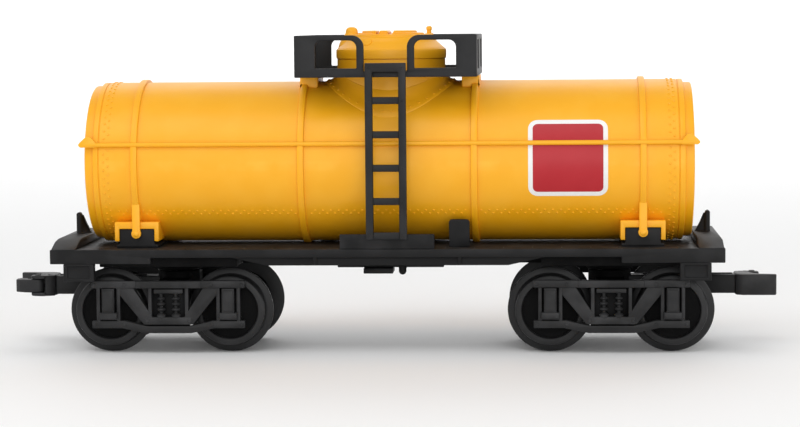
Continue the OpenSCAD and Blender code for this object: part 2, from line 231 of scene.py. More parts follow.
def outlined(name, points, thickness, place=None):
    """A plate cut to an outline of (x, y) points, thickened along Z from 0."""
    deselect_all()
    bpy.ops.mesh.primitive_circle_add(vertices=len(points), radius=1, fill_type="NGON")
    piece = bpy.context.active_object
    piece.name = name
    for point, (x, y) in zip(piece.data.vertices, points):
        point.co = mm(x, y, 0)
    start_edit(piece)
    bpy.ops.mesh.select_all(action="SELECT")
    bpy.ops.mesh.extrude_region_move(TRANSFORM_OT_translate={"value": (0, 0, mm(thickness))})
    bpy.ops.mesh.select_all(action="SELECT")
    bpy.ops.mesh.normals_make_consistent(inside=False)
    bpy.ops.object.mode_set(mode="OBJECT")
    if place is not None:
        piece.data.transform(place)
    return piece


def block(name, low, high, width=0.25, segments=2):
    """A block between two corners with its edges rounded."""
    deselect_all()
    size = [b - a for a, b in zip(low, high)]
    middle = [(a + b) / 2 for a, b in zip(low, high)]
    bpy.ops.mesh.primitive_cube_add(size=1, location=mm(*middle), scale=mm(*size))
    piece = bpy.context.active_object
    piece.name = name
    bpy.ops.object.transform_apply(location=True, rotation=True, scale=True)
    if width:
        start_edit(piece)
        bpy.ops.mesh.select_all(action="SELECT")
        bpy.ops.mesh.bevel(offset=mm(width), segments=segments, affect="EDGES")
        bpy.ops.object.mode_set(mode="OBJECT")
    return piece


def repeated(name, pattern, places):
    """One piece made of a copy of the pattern at each place; the pattern itself is used up."""
    cage = bmesh.new()
    for place in places:
        part = pattern.data.copy()
        part.transform(place)
        if place.determinant() < 0:
            part.flip_normals()
        cage.from_mesh(part)
        bpy.data.meshes.remove(part)
    bpy.data.objects.remove(pattern)
    mesh = bpy.data.meshes.new(name)
    cage.to_mesh(mesh)
    cage.free()
    piece = bpy.data.objects.new(name, mesh)
    bpy.context.scene.collection.objects.link(piece)
    return piece


def joined(name, pieces):
    """Several pieces as one."""
    deselect_all()
    for piece in pieces:
        piece.select_set(True)
    bpy.context.view_layer.objects.active = pieces[0]
    bpy.ops.object.join()
    pieces[0].name = name
    return pieces[0]


def softened(name, node, width=0.25, segments=2, clamp=False):
    """A copy of a CAD node with its flat faces made whole and its edges rounded as a mould leaves them."""
    piece = bpy.data.objects.new(name, frame["nodes"][node].data.copy())
    bpy.context.scene.collection.objects.link(piece)
    piece.data.materials.clear()
    mend(piece, 0.004)
    start_edit(piece)
    bpy.ops.mesh.select_all(action="SELECT")
    bpy.ops.mesh.dissolve_limited(angle_limit=math.radians(1.0))
    bpy.ops.mesh.quads_convert_to_tris(quad_method="BEAUTY", ngon_method="BEAUTY")
    bpy.ops.object.mode_set(mode="OBJECT")
    if width:
        round_edges(piece, width, segments, clamp=clamp)
    return piece


def finish_piece(piece, material, body, replaces=(), angle=35):
    """Gives a piece its shading, material and body, and hides the CAD nodes that it stands for."""
    smooth(piece, angle)
    piece.data.materials.clear()
    piece.data.materials.append(material)
    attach(piece, body)
    if replaces:
        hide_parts(*replaces)
    return piece


def round_tank(x, angle, radius=TANK_R):
    """A place on the barrel: Z points out of its skin, X along the tank; 0 degrees is the top, 90 the near side."""
    swing = Matrix.Rotation(math.radians(angle), 4, "X")
    return Matrix.Translation(mm(x, 0, TANK_Z)) @ swing @ Matrix.Translation(mm(0, 0, radius))


# ---- shared effects ----


def new_group(name, inputs, outputs):
    """An empty shader node group with named sockets."""
    group = bpy.data.node_groups.new(name, "ShaderNodeTree")
    for label, kind, value in inputs:
        socket = group.interface.new_socket(name=label, in_out="INPUT", socket_type=kind)
        socket.default_value = value
    for label, kind in outputs:
        group.interface.new_socket(name=label, in_out="OUTPUT", socket_type=kind)
    return group, group.nodes.new("NodeGroupInput"), group.nodes.new("NodeGroupOutput")


def add_node(tree, kind, links=None, **settings):
    """Adds a node, sets its properties, and fills its inputs from sockets or values."""
    node = tree.nodes.new(kind)
    for key, value in settings.items():
        setattr(node, key, value)
    for key, value in (links or {}).items():
        if isinstance(value, bpy.types.NodeSocket):
            tree.links.new(value, node.inputs[key])
        else:
            node.inputs[key].default_value = value
    return node


def maths(tree, operation, *values):
    """The result of a Math node on sockets or numbers."""
    return add_node(tree, "ShaderNodeMath", dict(enumerate(values)), operation=operation).outputs[0]


def between_colours(tree, amount, first, second):
    """The colour that lies between two others, by the amount."""
    blend = tree.nodes.new("ShaderNodeMix")
    blend.data_type = "RGBA"
    for index, socket in ((0, amount), (6, first), (7, second)):
        tree.links.new(socket, blend.inputs[index])
    return blend.outputs[2]


def plastic_skin_group():
    """Moulded plastic: slow shade changes, flow marks and a fine grain."""
    group, inn, out = new_group(
        "plastic_skin",
        [
            ("Colour", "NodeSocketColor", (0.5, 0.5, 0.5, 1)),
            ("Shade change", "NodeSocketFloat", 0.05),
            ("Roughness", "NodeSocketFloat", 0.4),
            ("Roughness change", "NodeSocketFloat", 0.06),
            ("Grain per metre", "NodeSocketFloat", 2200.0),
        ],
        [("Colour", "NodeSocketColor"), ("Roughness", "NodeSocketFloat"), ("Grain", "NodeSocketFloat")],
    )
    where = add_node(group, "ShaderNodeTexCoord").outputs["Object"]
    slow = add_node(group, "ShaderNodeTexNoise", {"Vector": where, "Scale": 16.0, "Detail": 4.0, "Roughness": 0.5})
    stretched = add_node(group, "ShaderNodeMapping", {"Vector": where, "Scale": (0.25, 1.0, 1.0)})
    flow = add_node(
        group, "ShaderNodeTexNoise",
        {"Vector": stretched.outputs["Vector"], "Scale": 130.0, "Detail": 3.0, "Roughness": 0.55},
    )
    fine = add_node(
        group, "ShaderNodeTexNoise",
        {"Vector": where, "Scale": inn.outputs["Grain per metre"], "Detail": 2.0, "Roughness": 0.6},
    )
    mixed = maths(group, "ADD", slow.outputs["Fac"], flow.outputs["Fac"])
    centred = maths(group, "SUBTRACT", mixed, 1.0)
    shade = maths(group, "MULTIPLY_ADD", centred, inn.outputs["Shade change"], 1.0)
    tint = add_node(group, "ShaderNodeHueSaturation", {"Color": inn.outputs["Colour"], "Value": shade})
    polish = maths(group, "MULTIPLY_ADD", centred, inn.outputs["Roughness change"], inn.outputs["Roughness"])
    group.links.new(tint.outputs["Color"], out.inputs["Colour"])
    group.links.new(polish, out.inputs["Roughness"])
    group.links.new(fine.outputs["Fac"], out.inputs["Grain"])
    return group


def edge_rub_group():
    """Edges a little paler and smoother where hands have rubbed them."""
    group, inn, out = new_group(
        "edge_rub",
        [
            ("Colour", "NodeSocketColor", (0.5, 0.5, 0.5, 1)),
            ("Rubbed colour", "NodeSocketColor", (0.8, 0.8, 0.8, 1)),
            ("Amount", "NodeSocketFloat", 0.3),
            ("Roughness", "NodeSocketFloat", 0.4),
        ],
        [("Colour", "NodeSocketColor"), ("Roughness", "NodeSocketFloat")],
    )
    sharp = add_node(group, "ShaderNodeNewGeometry").outputs["Pointiness"]
    edge = add_node(
        group, "ShaderNodeMapRange",
        {"Value": sharp, "From Min": 0.52, "From Max": 0.62, "To Min": 0.0, "To Max": 1.0}, clamp=True,
    )
    where = add_node(group, "ShaderNodeTexCoord").outputs["Object"]
    patchy = add_node(group, "ShaderNodeTexNoise", {"Vector": where, "Scale": 90.0, "Detail": 3.0})
    patches = add_node(
        group, "ShaderNodeMapRange",
        {"Value": patchy.outputs["Fac"], "From Min": 0.4, "From Max": 0.62}, clamp=True,
    )
    patchwork = maths(group, "MULTIPLY", edge.outputs["Result"], patches.outputs["Result"])
    amount = maths(group, "MULTIPLY", patchwork, inn.outputs["Amount"])
    colour = between_colours(group, amount, inn.outputs["Colour"], inn.outputs["Rubbed colour"])
    polish = maths(group, "MULTIPLY_ADD", amount, -0.12, inn.outputs["Roughness"])
    group.links.new(colour, out.inputs["Colour"])
    group.links.new(polish, out.inputs["Roughness"])
    return group


def light_dust_group():
    """Thin dust that settles on faces that look upwards."""
    group, inn, out = new_group(
        "light_dust",
        [
            ("Colour", "NodeSocketColor", (0.5, 0.5, 0.5, 1)),
            ("Dust colour", "NodeSocketColor", (0.3, 0.3, 0.3, 1)),
            ("Amount", "NodeSocketFloat", 0.1),
            ("Roughness", "NodeSocketFloat", 0.4),
        ],
        [("Colour", "NodeSocketColor"), ("Roughness", "NodeSocketFloat")],
    )
    facing = add_node(
        group, "ShaderNodeSeparateXYZ", {0: add_node(group, "ShaderNodeNewGeometry").outputs["Normal"]},
    ).outputs["Z"]
    upward = add_node(
        group, "ShaderNodeMapRange", {"Value": facing, "From Min": 0.35, "From Max": 1.0}, clamp=True,
    )
    where = add_node(group, "ShaderNodeTexCoord").outputs["Object"]
    specks = add_node(group, "ShaderNodeTexNoise", {"Vector": where, "Scale": 240.0, "Detail": 6.0, "Roughness": 0.7})
    clumps = add_node(
        group, "ShaderNodeMapRange",
        {"Value": specks.outputs["Fac"], "From Min": 0.35, "From Max": 0.75}, clamp=True,
    )
    lying = maths(group, "MULTIPLY", upward.outputs["Result"], clumps.outputs["Result"])
    amount = maths(group, "MULTIPLY", lying, inn.outputs["Amount"])
    colour = between_colours(group, amount, inn.outputs["Colour"], inn.outputs["Dust colour"])
    dull = maths(group, "MULTIPLY_ADD", amount, 0.4, inn.outputs["Roughness"])
    group.links.new(colour, out.inputs["Colour"])
    group.links.new(dull, out.inputs["Roughness"])
    return group


SKIN = plastic_skin_group()
RUB = edge_rub_group()
DUST = light_dust_group()


def moulded_plastic(
    name, colour, rubbed, roughness=0.38, shade=0.05, rub=0.35, dust=0.08, grain=2200.0, bump=0.05, specular=0.5,
):
    """A plastic material built from the shared effects."""
    material = bpy.data.materials.new(name)
    material.use_nodes = True
    tree = material.node_tree
    shader = tree.nodes["Principled BSDF"]
    skin = add_node(
        tree, "ShaderNodeGroup",
        {"Colour": (*colour, 1), "Shade change": shade, "Roughness": roughness, "Grain per metre": grain},
        node_tree=SKIN,
    )
    edges = add_node(
        tree, "ShaderNodeGroup",
        {"Colour": skin.outputs["Colour"], "Rubbed colour": (*rubbed, 1), "Amount": rub,
         "Roughness": skin.outputs["Roughness"]},
        node_tree=RUB,
    )
    dusty = add_node(
        tree, "ShaderNodeGroup",
        {"Colour": edges.outputs["Colour"], "Amount": dust, "Roughness": edges.outputs["Roughness"]}, node_tree=DUST,
    )
    tree.links.new(dusty.outputs["Colour"], shader.inputs["Base Color"])
    tree.links.new(dusty.outputs["Roughness"], shader.inputs["Roughness"])
    relief = add_node(
        tree, "ShaderNodeBump", {"Height": skin.outputs["Grain"], "Strength": bump, "Distance": mm(0.08)},
    )
    tree.links.new(relief.outputs["Normal"], shader.inputs["Normal"])
    shader.inputs["Specular IOR Level"].default_value = specular
    return material


def turned_steel(name):
    """Bright steel rod with drawing marks along it and a few dull patches."""
    material = bpy.data.materials.new(name)
    material.use_nodes = True
    tree = material.node_tree
    shader = tree.nodes["Principled BSDF"]
    where = add_node(tree, "ShaderNodeTexCoord").outputs["Object"]
    drawn = add_node(tree, "ShaderNodeMapping", {"Vector": where, "Scale": (1.0, 0.03, 1.0)})
    lines = add_node(
        tree, "ShaderNodeTexNoise", {"Vector": drawn.outputs["Vector"], "Scale": 3500.0, "Detail": 3.0},
    )
    rough = add_node(
        tree, "ShaderNodeMapRange", {"Value": lines.outputs["Fac"], "To Min": 0.26, "To Max": 0.44},
    )
    tone = add_node(tree, "ShaderNodeValToRGB", {"Fac": lines.outputs["Fac"]})
    tone.color_ramp.elements[0].color = (0.26, 0.26, 0.27, 1)
    tone.color_ramp.elements[1].color = (0.46, 0.46, 0.48, 1)
    tree.links.new(tone.outputs["Color"], shader.inputs["Base Color"])
    tree.links.new(rough.outputs["Result"], shader.inputs["Roughness"])
    relief = add_node(tree, "ShaderNodeBump", {"Height": lines.outputs["Fac"], "Strength": 0.1, "Distance": mm(0.05)})
    tree.links.new(relief.outputs["Normal"], shader.inputs["Normal"])
    shader.inputs["Metallic"].default_value = 1.0
    return material


def pale_floor():
    """A plain, very pale floor."""
    material = bpy.data.materials.new("pale_floor")
    material.use_nodes = True
    shader = material.node_tree.nodes["Principled BSDF"]
    where = add_node(material.node_tree, "ShaderNodeTexCoord").outputs["Object"]
    cloud = add_node(material.node_tree, "ShaderNodeTexNoise", {"Vector": where, "Scale": 1.5, "Detail": 2.0})
    tone = add_node(material.node_tree, "ShaderNodeValToRGB", {"Fac": cloud.outputs["Fac"]})
    tone.color_ramp.elements[0].color = (0.88, 0.88, 0.88, 1)
    tone.color_ramp.elements[1].color = (0.92, 0.92, 0.92, 1)
    material.node_tree.links.new(tone.outputs["Color"], shader.inputs["Base Color"])
    shader.inputs["Roughness"].default_value = 0.8
    return material


YELLOW = moulded_plastic(
    "tank_yellow", (0.90, 0.41, 0.006), (1.0, 0.56, 0.06), roughness=0.4, shade=0.035, rub=0.3, dust=0.02,
    bump=0.04, specular=0.4,
)
CHARCOAL = moulded_plastic(
    "deck_charcoal", (0.0098, 0.0098, 0.0102), (0.05, 0.05, 0.052), roughness=0.5, shade=0.12, rub=0.5, dust=0.035,
    bump=0.12, specular=0.16,
)
WALK_CHARCOAL = moulded_plastic(
    "walkway_charcoal", (0.0145, 0.0145, 0.015), (0.055, 0.055, 0.058), roughness=0.45, shade=0.1, rub=0.5, dust=0.05,
    bump=0.10, specular=0.22,
)
TRUCK_CHARCOAL = moulded_plastic(
    "truck_charcoal", (0.0145, 0.0145, 0.015), (0.065, 0.065, 0.068), roughness=0.46, shade=0.14, rub=0.55, dust=0.05,
    bump=0.14, grain=1600.0, specular=0.24,
)
WHEEL_CHARCOAL = moulded_plastic(
    "wheel_charcoal", (0.015, 0.015, 0.0155), (0.075, 0.075, 0.077), roughness=0.4, shade=0.1, rub=0.5, dust=0.03,
    bump=0.06, specular=0.26,
)
# A near-black copy of the charcoal plastic: painted shade, for parts that lie in shadow under the deck, in the wheels'
# dishes and behind the side frames.
PAINTED_SHADE_BLACK = moulded_plastic(
    "painted_shade_black", (0.0035, 0.0035, 0.0036), (0.02, 0.02, 0.021), roughness=0.62, shade=0.1, rub=0.4, dust=0.01,
    bump=0.1, specular=0.08,
)
RED_INK = moulded_plastic(
    "panel_red", (0.42, 0.006, 0.014), (0.6, 0.03, 0.04), roughness=0.35, shade=0.05, rub=0.1, dust=0.01, bump=0.03,
    specular=0.4,
)
WHITE_INK = moulded_plastic(
    "panel_white", (0.80, 0.80, 0.78), (0.9, 0.9, 0.89), roughness=0.38, shade=0.02, rub=0.1, dust=0.02, bump=0.03,
)
STEEL = turned_steel("axle_steel")


# ---- tank ----


def make_tank_shell():
    """The barrel: seams near both ends, a stepped cap with a soft corner, and bulged ends."""
    half = [
        (TANK_R, 120.2), (TANK_R - 0.1, 120.3), (TANK_R - 0.35, 120.4), (TANK_R - 0.35, 120.65),
        (TANK_R - 0.1, 120.75), (TANK_R, 120.85), (TANK_R, 122.6), (TANK_R - 0.1, 122.85), (TANK_R - 0.35, 123.0),
        (TANK_R - 1.2, 123.05), (TANK_R - 1.35, 123.2), (TANK_R - 1.35, 125.8), (TANK_R - 1.5, 126.3),
        (TANK_R - 1.9, 126.6), (TANK_R - 2.6, 126.7), (28.0, 127.0), (22.0, 127.35), (15.0, 127.75), (8.0, 128.0),
        (3.0, 128.15), (0.0, 128.2),
    ]
    profile = [(r, -x) for r, x in reversed(half)] + half
    tank = turned("tank_shell", profile, Matrix.Translation(mm(0, 0, TANK_Z)) @ ALONG, steps=160)
    finish_piece(tank, YELLOW, "car_body", ["tank_barrel"], angle=28)


def rivet(radius=0.5, height=0.34):
    """A low round rivet head, sunk a little into what it sits on."""
    profile = [
        (0.0, -0.2), (radius, -0.2), (radius, 0.02), (radius * 0.86, height * 0.62), (radius * 0.5, height * 0.93),
        (0.0, height),
    ]
    return turned("rivet", profile, steps=9)


def make_tank_rivets():
    """Staggered double rows along both sides, and round both ends."""
    places = []
    pitch, count, count_round = 3.3, 69, 64
    beside_band, beside_rail = 2.4, 2.8
    for side in (-1, 1):
        for row, angle in enumerate((124.4, 127.2)):
            for i in range(count):
                x = (i - (count - 1) / 2 + 0.5 * row - 0.25) * pitch
                if min(abs(abs(x) - MID_BAND_X), abs(abs(x) - END_BAND_X)) > beside_band:
                    places.append(round_tank(x, side * angle))
    for end in (-1, 1):
        for column, x in enumerate((116.6, 118.4)):
            for i in range(count_round):
                angle = (i + 0.5 * column) * 360 / count_round - 180
                if abs(abs(angle) - RAIL_ANGLE) > beside_rail:
                    places.append(round_tank(end * x, angle))
    rows = repeated("tank_rivets", rivet(), places)
    finish_piece(rows, YELLOW, "car_body")


def make_tank_bands():
    """Four hoops; the end ones go straight down to round tips with a stud in front of the saddles."""
    parts = []
    rim, half = TANK_R + 1.2, 1.4
    tip_r, strap_t, strap_y, strap_z = 2, 1.9, 30.25, 50.7
    for x in (-END_BAND_X, -MID_BAND_X, MID_BAND_X, END_BAND_X):
        profile = [
            (TANK_R - 0.1, x - half), (rim - 0.5, x - half), (rim - 0.12, x - half + 0.15), (rim, x - half + 0.5),
            (rim, x + half - 0.5), (rim - 0.12, x + half - 0.15), (rim - 0.5, x + half), (TANK_R - 0.1, x + half),
        ]
        hoop = turned("hoop", profile, Matrix.Translation(mm(0, 0, TANK_Z)) @ ALONG, steps=144)
        start_edit(hoop)
        bpy.ops.mesh.select_all(action="SELECT")
        bpy.ops.mesh.bisect(
            plane_co=mm(0, 0, DECK_Z), plane_no=(0, 0, -1), use_fill=True, clear_outer=True,
        )
        bpy.ops.object.mode_set(mode="OBJECT")
        parts.append(hoop)
    for end in (-1, 1):
        for side in (-1, 1):
            turns = [math.radians(a) for a in range(145, 396, 10)]
            tip = [(tip_r * math.cos(turn), tip_r * math.sin(turn)) for turn in turns]
            strap = outlined("strap", tip + [(1.65, 12.5), (-1.65, 12.5)], strap_t, UPRIGHT)
            round_edges(strap, 0.3, 2)
            strap.data.transform(Matrix.Translation(mm(end * END_BAND_X, side * strap_y + strap_t / 2, strap_z)))
            stud = turned(
                "stud", [(0, 0), (1.25, 0), (1.25, 0.3), (1.0, 0.6), (0.5, 0.75), (0, 0.8)],
                Matrix.Translation(mm(end * END_BAND_X, side * 31.1, 50.6))
                @ outward(side), steps=20,
            )
            parts += [strap, stud]
    bands = joined("moulded_bands", parts)
    finish_piece(bands, YELLOW, "car_body", ["tank_bands"])


def make_side_panels():
    """A plain red panel with a white border on each side, laid on the barrel's curve."""
    x_mid, z_low, z_high, half_x, corner = 74.7, 66.0, 97.2, 16.4, 4.0
    low = math.degrees(math.acos((z_low - TANK_Z) / TANK_R))
    high = math.degrees(math.acos((z_high - TANK_Z) / TANK_R))
    half_arc = math.radians(low - high) * TANK_R / 2
    middle = (low + high) / 2
    for side, label in ((-1, "near"), (1, "far")):
        for name, inset, lift, material in (("white", 0.0, 0.10, WHITE_INK), ("red", 1.9, 0.18, RED_INK)):
            a, b, r = half_x - inset, half_arc - inset, max(corner - inset, 1.5)
            points = []
            for cx, cy, start in ((a - r, b - r, 0), (r - a, b - r, 90), (r - a, r - b, 180), (a - r, r - b, 270)):
                for step in range(0, 91, 15):
                    turn = math.radians(start + step)
                    points.append((cx + r * math.cos(turn), cy + r * math.sin(turn)))
            panel = outlined(f"{label}_{name}_panel", points, 0.3)
            start_edit(panel)
            for i in range(-12, 13):
                bpy.ops.mesh.select_all(action="SELECT")
                bpy.ops.mesh.bisect(plane_co=mm(0, i * half_arc / 12.5, 0), plane_no=(0, 1, 0))
            bpy.ops.object.mode_set(mode="OBJECT")
            for point in panel.data.vertices:
                along, across, out = point.co / mm(1)
                angle = math.radians(middle) - across / TANK_R
                radius = TANK_R - 0.3 + lift + out
                point.co = mm(
                    -side * x_mid + along, side * radius * math.sin(angle),
                    TANK_Z + radius * math.cos(angle),
                )
            mend(panel, 0.001)
            finish_piece(panel, material, "car_body")


def make_dome():
    """The dome: a flared skirt on the barrel's curve, a fine seam, a rounded shoulder and a stepped lid."""
    skirt = turned(
        "skirt",
        [
            (22.0, -0.4), (27.9, -0.4), (27.9, 0.05), (27.7, 0.25), (27.1, 0.5), (26.2, 0.8), (25.2, 1.15),
            (24.4, 1.75), (23.7, 2.8), (23.2, 4.2), (22.0, 4.6),
        ],
        steps=128,
    )
    for point in skirt.data.vertices:
        x, y, lift = point.co / mm(1)
        point.co = mm(x, y, TANK_Z + math.sqrt((TANK_R + lift) ** 2 - y ** 2))
    drum = turned(
        "drum",
        [
            (0, 102.5), (23.0, 102.5), (23.0, 122.5), (22.8, 122.55), (22.8, 122.7), (23.2, 122.75), (23.35, 122.95),
            (23.45, 124.4), (23.45, 125.8), (23.3, 126.6), (22.95, 127.0), (22.75, 127.05), (22.7, 127.2),
            (22.3, 127.5), (21.3, 128.4), (20.0, 129.5), (19.2, 130.4), (18.9, 131.2), (18.6, 131.5), (17.9, 131.7),
            (17.6, 132.0), (17.5, 132.8), (17.2, 133.0), (0, 133.0),
        ],
        steps=128,
    )
    plug = turned("plug", [(0, -0.3), (1.9, -0.3), (1.9, 0.15), (1.7, 0.35), (0.6, 0.45), (0, 0.45)], steps=28)
    plug.data.transform(
        Matrix.Rotation(math.radians(-26), 4, "Z") @ Matrix.Translation(mm(0, -20.0, 129.7))
        @ Matrix.Rotation(math.radians(47), 4, "X")
    )
    dome = joined("dome_body", [skirt, drum, plug])
    finish_piece(dome, YELLOW, "car_body", ["dome"], angle=30)

    places = []
    for ring, (radius, count) in enumerate(((25.3, 44), (26.8, 44))):
        for i in range(count):
            turn = math.radians((i + 0.5 * ring) * 360 / count)
            x, y = radius * math.cos(turn), radius * math.sin(turn)
            lean = math.degrees(math.asin(y / (TANK_R + 0.7)))
            places.append(round_tank(x, -lean, TANK_R + 0.66))
    rows = repeated("dome_rivets", rivet(0.42, 0.24), places)
    finish_piece(rows, YELLOW, "car_body")


def bolt_head(across=0.9, height=0.5):
    """A six-sided bolt head with a washer under it."""
    head = turned(
        "head", [(0, -0.1), (across, -0.1), (across, height * 0.75), (across * 0.82, height), (0, height)], steps=6,
    )
    washer = turned(
        "washer", [(0, -0.2), (across * 1.35, -0.2), (across * 1.35, 0.08), (across * 1.2, 0.16), (0, 0.16)], steps=14,
    )
    return joined("bolt_head", [head, washer])


def make_hatch():
    """The hatch: a low disc, and an upper one cut by two grooves with sloping sides."""
    base = turned("base", [(0, 132.6), (14.0, 132.6), (14.0, 133.45), (13.7, 133.65), (0, 133.65)], steps=72)
    lid = turned(
        "lid", [(0, 133.3), (11.7, 133.3), (11.7, 134.2), (11.4, 134.5), (10.9, 134.6), (0, 134.6)],
        Matrix.Translation(mm(-0.6, 0, 0)), steps=72,
    )
    for low, high, flare in ((-5.6, -4.2, 0.25), (-0.6, 1.4, 0.7)):
        cutter = outlined(
            "groove",
            [(low - flare, 135), (low, 133.6), (low, 133.06), (high, 133.06), (high, 133.6), (high + flare, 135)],
            30, UPRIGHT,
        )
        cutter.data.transform(Matrix.Translation(mm(0, 15, 0)))
        for disc in (base, lid):
            apply_modifier(disc, "BOOLEAN", object=cutter, operation="DIFFERENCE", solver="EXACT")
        bpy.data.objects.remove(cutter)
    round_edges(lid, 0.15, 2, 50)
    hatch = joined("hatch_lid", [base, lid])
    finish_piece(hatch, YELLOW, "car_body", ["dome_hatch"])


def make_valves():
    """The round-topped vent with its flared foot on the shoulder, and the slim valve pin beside the hatch."""
    vent = turned(
        "vent",
        [
            (0, 126.0), (5.9, 126.0), (5.8, 127.5), (5.3, 129.2), (4.6, 130.8), (3.7, 132.2), (2.9, 133.2),
            (2.65, 133.7), (2.6, 134.4), (2.35, 135.2), (1.75, 135.85), (0.9, 136.15), (0, 136.2),
        ],
        Matrix.Translation(mm(-16.8, 0, 0)), steps=40,
    )
    pin = turned(
        "pin",
        [
            (0, 131.5), (1.9, 131.5), (1.9, 133.1), (1.5, 133.3), (1.05, 133.4), (1.0, 134.6), (1.25, 134.8),
            (1.25, 135.7), (0.9, 136.2), (0.3, 136.35), (0, 136.35),
        ],
        Matrix.Translation(mm(16.2, 0, 0)), steps=28,
    )
    valves = joined("dome_fittings", [vent, pin])
    finish_piece(valves, YELLOW, "car_body", ["dome_valves"])


def make_tank():
    """Everything moulded in the tank's colour."""
    make_tank_shell()
    make_tank_rivets()
    make_tank_bands()
    make_side_panels()
    make_dome()
    make_hatch()
    make_valves()
    for name, node, width, clamp in (
        ("side_handrails", "tank_handrails", 0.2, True), ("saddle_clips", "strap_clips", 0.3, False),
        ("walkway_blocks", "walkway_supports", 0.5, False),
    ):
        piece = softened(name, node, width, clamp=clamp)
        finish_piece(piece, YELLOW, "car_body", [node])


# ---- walkway, ladders and deck ----


def make_walkway():
    """The walkway with rounded rails, and a raised grip pattern on its floor."""
    frame_piece = softened("walkway_frame", "walkway", 0.3)
    finish_piece(frame_piece, WALK_CHARCOAL, "car_body", ["walkway"])
    places = []
    pitch, half_x, half_y, hole_r = 2.6, 35.2, 35.4, 26.2
    for i in range(-13, 14):
        for j in range(-13, 14):
            x, y = i * pitch, j * pitch
            if abs(x) < half_x and abs(y) < half_y and math.hypot(x, y) > hole_r:
                lean = 45 if (i + j) % 2 else -45
                places.append(Matrix.Translation(mm(x, y, WALK_FLOOR_Z)) @ Matrix.Rotation(math.radians(lean), 4, "Z"))
    bar = block("grip", (-0.85, -0.2, -0.1), (0.85, 0.2, 0.28), 0.12, 1)
    grip = repeated("walkway_grip", bar, places)
    finish_piece(grip, WALK_CHARCOAL, "car_body")


def make_ladders():
    """Both ladders: flat rails with softened edges, and round studs where the bars meet them."""
    for node in ("near_ladder", "far_ladder"):
        finish_piece(softened(f"{node}_moulding", node, 0.35), WALK_CHARCOAL, "car_body", [node])
    face_y, rail_x = 40.6, 6.9
    places = []
    for side in (-1, 1):
        for z in (50.3, 64.5, 78.2, 92.0, 106.0, 119.5):
            for x in (-rail_x, rail_x):
                places.append(Matrix.Translation(mm(x, side * face_y, z)) @ outward(side))
    studs = repeated("ladder_studs", rivet(0.55, 0.22), places)
    finish_piece(studs, WALK_CHARCOAL, "car_body")


def make_deck():
    """The deck and what is moulded with it, with rounded edges, and low board lines along both sides."""
    # The centre sill and body bolsters get the near-black material as painted shade under the deck.
    under = ("centre_sill", "body_bolsters")
    for name, node, width in (
        ("deck_moulding", "deck", 0.35), ("near_sill", "near_side_sill", 0.2), ("far_sill", "far_side_sill", 0.2),
        ("ladder_pads", "ladder_feet", 0.3), ("corner_step_boxes", "corner_steps", 0.25),
        ("end_uprights", "end_braces", 0.45), ("saddle_blocks", "tank_saddles", 0.4),
        ("centre_beam", "centre_sill", 0.25), ("truck_bolster_blocks", "body_bolsters", 0.4),
        ("belly_fittings", "underframe_box", 0.25), ("deck_tabs", "frame_tabs", 0.3),
    ):
        material = PAINTED_SHADE_BLACK if node in under else CHARCOAL
        finish_piece(softened(name, node, width), material, "car_body", [node])
    board, line_y, half_line = 12.0, 33.6, 3.6
    planks = []
    for i in range(-10, 11):
        x = i * board
        for side in (-1, 1):
            low, high = side * line_y - half_line, side * line_y + half_line
            planks.append(block("board_edge", (x - 0.25, low, DECK_Z - 0.1), (x + 0.25, high, DECK_Z + 0.16), 0.1, 1))
    ridges = joined("deck_ridges", planks)
    finish_piece(ridges, CHARCOAL, "car_body")


# ---- trucks ----


def make_springs(side_name, place):
    """Two beaded stacks under a cap in the window of each side frame, and thin near-black sheets behind the window and
    the axle slots as painted shade.
    """
    stack_profile = [
        (0, 15.5), (1.9, 15.5), (2.0, 16.4), (1.4, 17.0), (0.75, 17.4), (0.75, 18.0), (1.5, 18.3), (1.85, 18.8),
        (1.5, 19.3), (0.75, 19.6), (0.75, 20.3), (1.45, 20.6), (1.8, 21.1), (1.45, 21.6), (0.75, 21.9),
        (0.75, 22.6), (1.3, 22.9), (1.65, 23.3), (1.3, 23.8), (0.7, 24.1), (0.7, 25.0), (1.1, 25.6), (0, 25.6),
    ]
    parts, shade_sheets = [], []
    for side in (-1, 1):
        y = side * (SIDE_Y + 2.0)
        for dx in (-3.1, 3.1):
            parts.append(turned("stack", stack_profile, Matrix.Translation(mm(dx, y, 0)), steps=24))
        parts.append(block("spring_cap", (-6.2, y - 0.9, 25.5), (6.2, y + 0.9, 27.4), 0.35))
        # Near-black sheets just inside each side frame: painted shade that closes the spring window and the axle
        # slots.
        low, high = sorted((side * (SIDE_Y + 0.1), side * (SIDE_Y + 0.9)))
        shade_sheets.append(block("window_shade_sheet", (-8.6, low, 11.2), (8.6, high, 28.6), 0.1, 1))
        for dx in (-AXLE_DX, AXLE_DX):
            shade_sheets.append(block("slot_shade_sheet", (dx - 4.2, low, 13.5), (dx + 4.2, high, 28.2), 0.1, 1))
    for name, pieces, material, nodes in (
        ("spring_stacks", parts, TRUCK_CHARCOAL, [f"{side_name}_springs"]),
        ("spring_window_shade_sheets", shade_sheets, PAINTED_SHADE_BLACK, []),
    ):
        piece = joined(f"{side_name}_{name}", pieces)
        piece.data.transform(place)
        finish_piece(piece, material, f"{side_name}_truck", nodes, angle=50)


